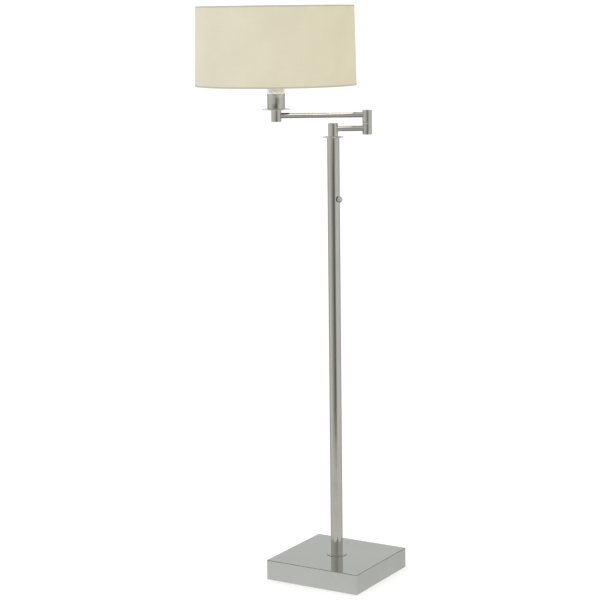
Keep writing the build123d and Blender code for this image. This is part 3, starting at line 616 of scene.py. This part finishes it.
def moulded(name, colour, roughness, relief=0.25):
    """Moulded plastic: even colour, fine tooth, edges rubbed a little paler."""
    material, graph, shader, place = new_material(name)
    grain = place_group(graph, "fine_grain", {"Place": place, "Scale": 1100.0, "Contrast": 0.6})
    edge = place_group(graph, "worn_edges", {"Place": place, "Width": 0.0004})["Mask"]
    tone = graph.mix(grain["Tone"], shades_of(colour, 0.88), shades_of(colour, 1.1))
    dress(
        graph, shader,
        colour=graph.mix(edge, tone, shades_of(colour, 1.22)),
        roughness=graph.remap(grain["Tone"], 0.2, 0.8, roughness - 0.08, roughness + 0.1),
        relief=(grain["Height"], relief, 0.0002),
    )
    return material


def bare_brass():
    """Stamped brass with a light tarnish."""
    material, graph, shader, place = new_material("bare_brass")
    smudge = place_group(graph, "smudges", {"Place": place, "Scale": 60.0})
    edge = place_group(graph, "worn_edges", {"Place": place, "Width": 0.0003})["Mask"]
    tone = graph.mix(smudge["Mask"], (0.80, 0.62, 0.30, 1), (0.52, 0.37, 0.17, 1))
    dress(
        graph, shader,
        colour=graph.mix(edge, tone, (0.92, 0.76, 0.44, 1)),
        roughness=graph.math("MULTIPLY_ADD", smudge["Mask"], 0.25, 0.2),
        relief=(smudge["Waviness"], 0.3, 0.0003),
    )
    shader.inputs["Metallic"].default_value = 1.0
    return material


def frosted_glass():
    """Acid-frosted bulb glass, slightly milky."""
    material, graph, shader, place = new_material("frosted_bulb_glass")
    grain = place_group(graph, "fine_grain", {"Place": place, "Scale": 800.0, "Contrast": 0.5})
    dress(
        graph, shader,
        colour=graph.mix(grain["Tone"], (0.93, 0.92, 0.90, 1), (0.98, 0.97, 0.95, 1)),
        roughness=graph.remap(grain["Tone"], 0.3, 0.7, 0.34, 0.46),
        relief=(grain["Height"], 0.2, 0.0001),
    )
    lit = graph.mix(grain["Tone"], (1.0, 0.94, 0.84, 1), (1.0, 0.98, 0.93, 1))
    graph.feed(shader.inputs["Emission Color"], lit)
    shader.inputs["Emission Strength"].default_value = bpy.context.scene.lamp_socket.bulb_glow
    material.cycles.emission_sampling = "NONE"
    shader.inputs["Transmission Weight"].default_value = 0.55
    shader.inputs["IOR"].default_value = 1.5
    return material


def enamelled_wire():
    """White enamel on steel wire, with runs and a few thin spots."""
    material, graph, shader, place = new_material("white_enamel_wire")
    smudge = place_group(graph, "smudges", {"Place": place, "Scale": 70.0})
    edge = place_group(graph, "worn_edges", {"Place": place, "Width": 0.0003})["Mask"]
    tone = graph.mix(smudge["Mask"], (0.80, 0.80, 0.78, 1), (0.70, 0.70, 0.67, 1))
    dress(
        graph, shader,
        colour=graph.mix(edge, tone, (0.86, 0.86, 0.84, 1)),
        roughness=graph.math("MULTIPLY_ADD", smudge["Mask"], 0.15, 0.28),
        relief=(smudge["Waviness"], 0.4, 0.0003),
    )
    shader.inputs["Coat Weight"].default_value = 0.3
    return material


def styrene():
    """White styrene sheet behind the cloth, with a painted glow for the lamp-lit inside of the shade that shows
    fully in mirror finishes and hardly at all straight on.
    """
    material, graph, shader, place = new_material("white_styrene_sheet")
    grain = place_group(graph, "fine_grain", {"Place": place, "Scale": 300.0, "Contrast": 0.4})
    dress(
        graph, shader,
        colour=graph.mix(grain["Tone"], (0.84, 0.83, 0.79, 1), (0.92, 0.91, 0.88, 1)),
        roughness=graph.remap(grain["Tone"], 0.3, 0.7, 0.42, 0.56),
        relief=(grain["Height"], 0.1, 0.0001),
    )
    # Painted glow: the liner gives off light that stands in for the lamp-lit inside of the shade. It is full in
    # mirror reflections and dim straight on.
    lit = graph.mix(grain["Tone"], (1.0, 0.95, 0.87, 1), (1.0, 0.98, 0.93, 1))
    mirrored = graph.add("ShaderNodeLightPath").outputs["Is Glossy Ray"]
    graph.feed(shader.inputs["Emission Color"], graph.mix(mirrored, (0.045, 0.042, 0.037, 1), lit))
    shader.inputs["Emission Strength"].default_value = bpy.context.scene.lamp_shade.liner_glow
    material.cycles.emission_sampling = "NONE"
    return material


def woven_cloth(name, colour, relief):
    """Plain-woven cloth round the shade's axis, with slubs, soft clouding and a dry sheen."""
    shade = bpy.context.scene.lamp_shade
    radius = shade_place()[3]
    material, graph, shader, place = new_material(name)
    weave = place_group(graph, "plain_weave", {"Place": place, "Radius": radius, "Pitch": shade.thread_pitch})
    tone = graph.remap(weave["Tone"], 0.32, 0.68)
    dress(
        graph, shader,
        colour=graph.mix(tone, shades_of(colour, 0.955), shades_of(colour, 1.04)),
        roughness=graph.remap(weave["Height"], 0.2, 1.4, 0.95, 0.8),
        relief=(weave["Height"], relief, 0.00015),
    )
    shader.inputs["Sheen Weight"].default_value = 0.08
    shader.inputs["Sheen Roughness"].default_value = 0.5
    shader.inputs["Specular IOR Level"].default_value = 0.2
    return material


FINISHES = {
    "polished_nickel": polished_nickel,
    "zinc_steel": zinc_plate,
    "cast_iron": cast_iron,
    "felt": needle_felt,
    "black_nylon": lambda: moulded("black_nylon_moulding", (0.028, 0.028, 0.03), 0.45),
    "natural_nylon": lambda: moulded("natural_nylon_moulding", (0.66, 0.64, 0.57), 0.4),
    "pale_phenolic": lambda: moulded("pale_phenolic_moulding", bpy.context.scene.lamp_socket.body_colour, 0.4),
    "brass": bare_brass,
    "lead_jacket": lambda: moulded("lead_jacket_white", (0.62, 0.62, 0.60), 0.5, 0.15),
    "bulb_glass": frosted_glass,
    "shade_liner": styrene,
    "white_wire": enamelled_wire,
}


def finish_nodes(slots):
    """Give every CAD node in these material slots its finish."""
    record = frame["record"]
    for slot in slots:
        material = FINISHES[slot]()
        for part in record["subparts"]:
            if part["material_slot"] == slot:
                finish_node(part["node"], material)


def finish_node(node, material):
    """Put one finish on every material slot of a CAD node."""
    for slot in frame["nodes"][node].material_slots:
        slot.material = material


# ---------------------------------------------------------------- mesh building


def rows_to_mesh(name, rows, loop_rows=False, cap_last=False):
    """A quad mesh from equal closed rows of points, which can also join the last row to the first, or cap it."""
    shape = bmesh.new()
    rings = [[shape.verts.new(point) for point in row] for row in rows]
    pairs = list(zip(rings, rings[1:]))
    if loop_rows:
        pairs.append((rings[-1], rings[0]))
    for lower, upper in pairs:
        for i in range(len(lower)):
            j = (i + 1) % len(lower)
            shape.faces.new((lower[i], lower[j], upper[j], upper[i]))
    if cap_last:
        shape.faces.new(rings[-1])
    bmesh.ops.recalc_face_normals(shape, faces=shape.faces)
    mesh = bpy.data.meshes.new(name)
    shape.to_mesh(mesh)
    shape.free()
    mesh.shade_smooth()
    mesh.set_sharp_from_angle(angle=SHARP_ANGLE)
    return mesh


def ring(radius, height, count):
    """Points evenly round an upright axis, at one radius and height."""
    return [polar(radius, math.tau * i / count, height) for i in range(count)]


def turned(name, outline):
    """A turned mesh from a closed outline of (radius, height) points that keeps clear of its axis."""
    rows = [ring(radius, height, TURNED_SIDES) for radius, height in outline]
    return rows_to_mesh(name, rows, loop_rows=True)


def round_edge(radius, height, size, start, end, steps=6):
    """Points of an arc in an outline, from one angle to another in degrees, about its centre."""
    angles = [math.radians(start + (end - start) * step / steps) for step in range(steps + 1)]
    return [(radius + size * math.cos(angle), height + size * math.sin(angle)) for angle in angles]


def add_piece(name, mesh, place, material, body):
    """Put a mesh in the scene at a place, with its finish, riding on a CAD body."""
    piece = bpy.data.objects.new(name, mesh)
    bpy.context.scene.collection.objects.link(piece)
    piece.location = place
    mesh.materials.append(material)
    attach(piece, body)
    return piece


def polar(radius, angle, height):
    """A point at a radius, an angle and a height about an upright axis."""
    return Vector((radius * math.cos(angle), radius * math.sin(angle), height))


# ---------------------------------------------------------------- operators


class LAMP_OT_stage(Operator):
    """Make the camera, the pale floor and the soft studio light"""

    bl_idname = "lamp.stage"
    bl_label = "Stage"

    def execute(self, context):
        settings = context.scene.lamp_stage
        self.make_camera(context, settings)
        self.make_floor(context, settings)
        self.make_light(context, settings)
        context.scene.view_settings.view_transform = "Standard"
        return {"FINISHED"}

    def make_camera(self, context, settings):
        """A camera turned round the lamp, tilted down and leaning a little."""
        turn, tilt, lean = settings.azimuth, settings.pitch, settings.roll
        level = Vector((-math.sin(turn), math.cos(turn), 0))
        right = Vector((math.cos(turn), math.sin(turn), 0))
        forward = level * math.cos(tilt) - Vector((0, 0, math.sin(tilt)))
        upward = Vector((0, 0, math.cos(tilt))) + level * math.sin(tilt)
        side = right * math.cos(lean) - upward * math.sin(lean)
        above = upward * math.cos(lean) + right * math.sin(lean)
        data = bpy.data.cameras.new("lamp_camera")
        data.sensor_width = 36
        data.lens = settings.focal_length
        camera = bpy.data.objects.new("lamp_camera", data)
        context.scene.collection.objects.link(camera)
        facing = Matrix((side, above, -forward)).transposed().to_4x4()
        place = right * settings.sideways - level * settings.distance + Vector((0, 0, settings.height))
        camera.matrix_world = Matrix.Translation(place) @ facing
        context.scene.camera = camera

    def make_floor(self, context, settings):
        """A pale disc that fades out before its rim, and gives off enough light to keep shadows faint."""
        reach = settings.floor_radius
        rings = [ring(radius, 0, FLOOR_SIDES) for radius in (reach, reach / 2, FLOOR_HUB)]
        mesh = rows_to_mesh("studio_floor", rings, cap_last=True)
        floor = bpy.data.objects.new("studio_floor", mesh)
        context.scene.collection.objects.link(floor)
        floor.location.z = cad_box[0].z - FLOOR_GAP
        material, graph, shader, place = new_material("pale_studio_floor")
        grain = place_group(graph, "fine_grain", {"Place": place, "Scale": 240.0, "Contrast": 0.2})
        colour = settings.floor_colour
        tone = graph.mix(grain["Tone"], shades_of(colour, 0.98), shades_of(colour, 1.02))
        graph.feed(shader.inputs["Base Color"], tone)
        distance = graph.add("ShaderNodeVectorMath", {0: place}, operation="LENGTH").outputs["Value"]
        graph.feed(shader.inputs["Alpha"], graph.remap(distance, reach * 0.55, reach, 1.0, 0.0))
        shader.inputs["Roughness"].default_value = 0.9
        shader.inputs["Specular IOR Level"].default_value = 0.1
        shader.inputs["Emission Color"].default_value = (1, 1, 1, 1)
        shader.inputs["Emission Strength"].default_value = settings.floor_glow
        mesh.materials.append(material)
        floor.visible_glossy = False

    def make_light(self, context, settings):
        """Even light for cloth and floor, banded light for whatever mirrors the studio, and a softbox above."""
        world = bpy.data.worlds.new("studio")
        context.scene.world = world
        world.use_nodes = True
        graph = Graph(world.node_tree)
        direction = graph.add("ShaderNodeTexCoord").outputs["Generated"]
        to_camera = (0, 0, math.pi / 2 - settings.azimuth)
        seen = graph.add("ShaderNodeMapping", {"Vector": direction, "Rotation": to_camera}).outputs[0]
        parts = graph.add("ShaderNodeSeparateXYZ", {0: seen}).outputs
        angle = graph.math("ARCTAN2", parts["Y"], parts["X"])
        around = graph.math("MULTIPLY_ADD", angle, 0.5 / math.pi, 0.5)
        rise = graph.math("MULTIPLY_ADD", parts["Z"], 0.5, 0.5)
        sides = graph.ramp(around, [(0.5 + degrees / 360, value) for degrees, value in SIDE_BANDS])
        heights = graph.ramp(rise, [(0.5 + math.sin(math.radians(e)) / 2, value) for e, value in HEIGHT_BANDS])
        above_floor = graph.remap(parts["Z"], *SIDES_FROM)
        upper_sides = graph.mix(graph.math("MULTIPLY", sides, 0.55), (0.62, 0.62, 0.62, 1), (1.62, 1.62, 1.62, 1))
        level = graph.ramp(around, [(0.5 + degrees / 360, value) for degrees, value in LEVEL_BANDS])
        near_level = graph.mix(graph.remap(parts["Z"], *LEVEL_FROM), sides, level)
        banded = graph.mix(graph.remap(parts["Z"], *UPPER_FROM), near_level, upper_sides)
        low_band = graph.math("MULTIPLY", above_floor, graph.remap(parts["Z"], *SIDES_UNTIL))
        far_side = graph.remap(parts["X"], *BEHIND_DEPTH)
        behind = graph.math("MULTIPLY", far_side, graph.remap(parts["Z"], *BEHIND_RISE))
        dimmed = graph.math("MULTIPLY_ADD", behind, -BEHIND_LOSS, 1.0)
        mirrored = graph.mix(low_band, graph.math("MULTIPLY", heights, dimmed), banded)
        left, right = (*settings.left_tint, 1), (*settings.right_tint, 1)
        tint = graph.mix(graph.remap(parts["Y"], -0.9, 0.9), left, right)
        path = graph.add("ShaderNodeLightPath").outputs
        shown = graph.mix(path["Is Diffuse Ray"], mirrored, tint)
        shown = graph.mix(path["Is Camera Ray"], shown, (1, 1, 1, 1))
        background = graph.add("ShaderNodeBackground", {"Color": shown, "Strength": settings.studio_light})
        graph.add("ShaderNodeOutputWorld", {"Surface": background.outputs[0]})
        data = bpy.data.lights.new("softbox", "AREA")
        data.shape = "RECTANGLE"
        data.size, data.size_y = SOFTBOX_SIZE
        data.energy = settings.softbox_power
        softbox = bpy.data.objects.new("softbox", data)
        context.scene.collection.objects.link(softbox)
        softbox.location = SOFTBOX_PLACE
        softbox.rotation_euler = (Vector(SOFTBOX_AIM) - softbox.location).to_track_quat("-Z", "Y").to_euler()
        softbox.visible_glossy = False


class LAMP_OT_finishes(Operator):
    """Give the metal, plastic, felt, glass and wire parts of the frame their finishes"""

    bl_idname = "lamp.finishes"
    bl_label = "Finishes"

    def execute(self, context):
        make_smudges()
        make_edge_mask()
        make_grain()
        make_weave()
        finish_nodes(FINISHES)
        finish_node("base_cover", base_nickel())
        return {"FINISHED"}


class LAMP_OT_shade_cloth(Operator):
    """Stretch the woven cloth round the drum, lapped and glued at the back"""

    bl_idname = "lamp.shade_cloth"
    bl_label = "Shade Cloth"

    def execute(self, context):
        settings = context.scene.lamp_shade
        axis, bottom, top, lower_radius, upper_radius = shade_place()
        low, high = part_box("shade_fabric")
        inset = lower_radius - (high.x - low.x) / 2
        seam_angle = context.scene.lamp_stage.azimuth + SEAM_OFFSET
        rows = []
        for step in range(CLOTH_ROWS + 1):
            share = step / CLOTH_ROWS
            height = low.z + share * (high.z - low.z)
            radius = lower_radius + (upper_radius - lower_radius) * (height - bottom) / (top - bottom) - inset
            free = math.sin(math.pi * share)
            row = []
            for column in range(settings.columns):
                angle = math.tau * column / settings.columns
                swell = noise.noise(Vector((math.cos(angle) * 2.1, math.sin(angle) * 2.1, share * 1.6)))
                offset = settings.unevenness * swell * free - settings.cloth_thickness / 2
                from_seam = ((angle - seam_angle + math.pi) % math.tau - math.pi) * radius
                lap = max(0.0, min(1.0, 1 - (from_seam - settings.seam_width) / SEAM_FADE))
                start = max(0.0, min(1.0, (from_seam + SEAM_START) / (2 * SEAM_START)))
                offset += settings.cloth_thickness * 0.8 * lap * start
                row.append(polar(radius + offset, angle, height - low.z))
            rows.append(row)
        mesh = rows_to_mesh("shade_cloth", rows)
        material = woven_cloth("woven_shade_cloth", settings.cloth_colour, 0.35)
        place = Vector((axis.x, axis.y, low.z))
        cloth = add_piece("shade_cloth", mesh, place, material, UPPER_ARM)
        shell = cloth.modifiers.new("thickness", "SOLIDIFY")
        shell.thickness = settings.cloth_thickness
        shell.offset = 0
        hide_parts("shade_fabric")
        return {"FINISHED"}


class LAMP_OT_shade_trims(Operator):
    """Roll a narrow trim of the same cloth over the two edges of the drum, in a darker colour that paints shade"""

    bl_idname = "lamp.shade_trims"
    bl_label = "Shade Trims"

    def execute(self, context):
        settings = context.scene.lamp_shade
        # The darker trim colour is painted shade along the rolled edges.
        material = woven_cloth("woven_shade_trim", settings.trim_shaded_colour, 0.5)
        axis, bottom, top, lower_radius, upper_radius = shade_place()
        self.roll("shade_trim_bottom", "shade_bottom_tape", bottom, 1, lower_radius, axis, material)
        self.roll("shade_trim_top", "shade_top_tape", top, -1, upper_radius, axis, material)
        return {"FINISHED"}

    def roll(self, name, node, edge, inward, radius, axis, material):
        """A folded strip round one edge: outer leg, rounded fold and inner leg, with small gathers."""
        settings = bpy.context.scene.lamp_shade
        inner = radius - settings.trim_depth
        if inward < 0:
            inner = width("shade_top_ring") / 2 - settings.wire_diameter
        outer_leg = settings.trim_height
        low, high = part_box(node)
        inner_leg = high.z - low.z
        thick = settings.trim_thickness
        tip, fold, corner = 0.2 * MM, 0.9 * MM, 0.25 * MM
        section = [
            (radius - thick, outer_leg), (radius, outer_leg - tip), (radius, fold),
            (radius - corner, corner), (radius - fold, 0.0), (inner + fold, 0.0),
            (inner + corner, corner), (inner, fold), (inner, inner_leg - tip),
            (inner + thick, inner_leg), (inner + thick, fold), (inner + fold, thick),
            (radius - fold, thick), (radius - thick, fold),
        ]
        rows = []
        for distance, rise in section:
            row = []
            for column in range(settings.columns):
                angle = math.tau * column / settings.columns
                swell = noise.noise(Vector((math.cos(angle) * 40, math.sin(angle) * 40, rise * 300)))
                row.append(polar(distance + GATHER_DEPTH * swell, angle, inward * rise))
            rows.append(row)
        mesh = rows_to_mesh(name, rows, loop_rows=True)
        piece = add_piece(name, mesh, Vector((axis.x, axis.y, edge)), material, UPPER_ARM)
        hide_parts(node)


class LAMP_OT_spun_discs(Operator):
    """Turn the three thin discs with their rounded rims"""

    bl_idname = "lamp.spun_discs"
    bl_label = "Spun Discs"

    def execute(self, context):
        material = polished_nickel()
        bore = width("pole_pivot") / 2
        for node, body in (("foot_disc", "stand"), ("pole_top_disc", "stand"), ("socket_disc", UPPER_ARM)):
            low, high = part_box(node)
            thick = high.z - low.z
            radius = (high.x - low.x) / 2
            rim = round_edge(radius - thick / 2, thick / 2, thick / 2, 90, -90, 10)
            mesh = turned(f"spun_{node}", [(bore, 0), (bore, thick), *rim])
            place = Vector((*middle(node).xy, low.z))
            piece = add_piece(f"spun_{node}", mesh, place, material, body)
            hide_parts(node)
        return {"FINISHED"}


class LAMP_OT_socket_cup(Operator):
    """Spin the cup that holds the socket, with a rolled rim and a soft lower edge"""

    bl_idname = "lamp.socket_cup"
    bl_label = "Socket Cup"

    def execute(self, context):
        wall = context.scene.lamp_socket.cup_wall
        low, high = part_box("socket_cup")
        radius, height = (high.x - low.x) / 2, high.z - low.z
        bore = width("socket_nipple") / 2
        soft = CUP_SOFT_EDGE
        outline = [
            (bore, 0),
            *round_edge(radius - soft, soft, soft, -90, 0),
            *round_edge(radius - wall / 2, height - wall / 2, wall / 2, 0, 180, 8),
            (radius - wall, soft),
            (radius - soft, wall),
            (bore, wall),
        ]
        mesh = turned("spun_socket_cup", outline)
        place = Vector((*middle("socket_cup").xy, low.z))
        piece = add_piece("spun_socket_cup", mesh, place, polished_nickel(), UPPER_ARM)
        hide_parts("socket_cup")
        return {"FINISHED"}


class LAMP_OT_socket_skirt(Operator):
    """Cut the coarse round thread on the pale skirt that carries the shade"""

    bl_idname = "lamp.socket_skirt"
    bl_label = "Threaded Skirt"

    def execute(self, context):
        settings = context.scene.lamp_socket
        low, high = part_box("socket_collar")
        radius, height = (high.x - low.x) / 2, high.z - low.z
        steps = round(height / settings.thread_pitch * SKIRT_ROWS_PER_THREAD)
        rows = []
        for step in range(steps + 1):
            rise = height * step / steps
            free = min(1.0, rise / MM, (height - rise) / MM)
            row = []
            for column in range(SKIRT_SIDES):
                turn = column / SKIRT_SIDES
                groove = 0.5 - 0.5 * math.cos(math.tau * (rise / settings.thread_pitch - turn))
                depth = settings.thread_depth * (groove * free + SKIRT_END_DEPTH * (1 - free))
                row.append(polar(radius - depth, math.tau * turn, rise))
            rows.append(row)
        rows += [ring(SKIRT_BORE, rise, SKIRT_SIDES) for rise in (height, 0.0)]
        mesh = rows_to_mesh("threaded_skirt", rows, loop_rows=True)
        # The darker skirt colour is painted shade beneath the drum.
        material = moulded("pale_phenolic_thread", settings.skirt_shaded_colour, 0.25)
        place = Vector((*middle("socket_collar").xy, low.z))
        piece = add_piece("threaded_skirt", mesh, place, material, UPPER_ARM)
        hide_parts("socket_collar")
        return {"FINISHED"}


class LAMP_OT_welds(Operator):
    """Leave small weld beads where the spokes meet the fitter and the wire ring"""

    bl_idname = "lamp.welds"
    bl_label = "Spoke Welds"

    def execute(self, context):
        settings = context.scene.lamp_shade
        low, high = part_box("shade_fitter")
        wire = settings.wire_diameter / 2
        outer = (high.x - low.x) / 2 - wire
        shape = bmesh.new()
        for spoke in range(settings.spokes):
            angle = FIRST_SPOKE + math.tau * spoke / settings.spokes
            self.bead(shape, polar(outer - 0.8 * wire, angle, low.z + wire * 1.1), angle, RING_WELD)
            self.bead(shape, polar(settings.fitter_radius - 0.4 * MM, angle, high.z - MM), angle, FITTER_WELD)
        mesh = bpy.data.meshes.new("spoke_welds")
        shape.to_mesh(mesh)
        shape.free()
        mesh.shade_smooth()
        place = Vector((*middle("shade_fitter").xy, 0))
        add_piece("spoke_welds", mesh, place, enamelled_wire(), UPPER_ARM)
        return {"FINISHED"}

    def bead(self, shape, centre, angle, size):
        """A lumpy flattened bead, longer round the ring than across it."""
        made = bmesh.ops.create_icosphere(shape, subdivisions=3, radius=size)
        stretch = Matrix.Rotation(angle, 4, "Z") @ Matrix.Diagonal((0.9, 1.5, 0.8, 1))
        for vertex in made["verts"]:
            lump = 1 + 0.14 * noise.noise(vertex.co / size * 1.7 + centre * 90)
            vertex.co = centre + stretch @ (vertex.co * lump)


class LAMP_PT_build(Panel):
    """The lamp's parts and settings in the sidebar"""

    bl_label = "Floor Lamp"
    bl_idname = "LAMP_PT_build"
    bl_space_type = "VIEW_3D"
    bl_region_type = "UI"
    bl_category = "Floor Lamp"

    def draw(self, context):
        scene = context.scene
        for settings in (scene.lamp_stage, scene.lamp_metal, scene.lamp_shade, scene.lamp_socket):
            box = self.layout.box()
            for name in settings.bl_rna.properties.keys():
                if name not in {"rna_type", "name"}:
                    box.prop(settings, name)
        for operator in STEPS:
            self.layout.operator(operator.bl_idname)


SETTINGS = {
    "lamp_stage": StageSettings,
    "lamp_metal": MetalSettings,
    "lamp_shade": ShadeSettings,
    "lamp_socket": SocketSettings,
}
STEPS = (
    LAMP_OT_finishes,
    LAMP_OT_stage,
    LAMP_OT_shade_cloth,
    LAMP_OT_shade_trims,
    LAMP_OT_spun_discs,
    LAMP_OT_socket_cup,
    LAMP_OT_socket_skirt,
    LAMP_OT_welds,
)
CLASSES = (*SETTINGS.values(), *STEPS, LAMP_PT_build)


def register():
    for kind in CLASSES:
        bpy.utils.register_class(kind)
    for name, kind in SETTINGS.items():
        setattr(bpy.types.Scene, name, PointerProperty(type=kind))


def unregister():
    for name in SETTINGS:
        delattr(bpy.types.Scene, name)
    for kind in reversed(CLASSES):
        bpy.utils.unregister_class(kind)


def main():
    """Register the add-on and build every piece in order."""
    register()
    for step in STEPS:
        group, _, operator = step.bl_idname.partition(".")
        getattr(getattr(bpy.ops, group), operator)()


if __name__ == "__main__":
    main()
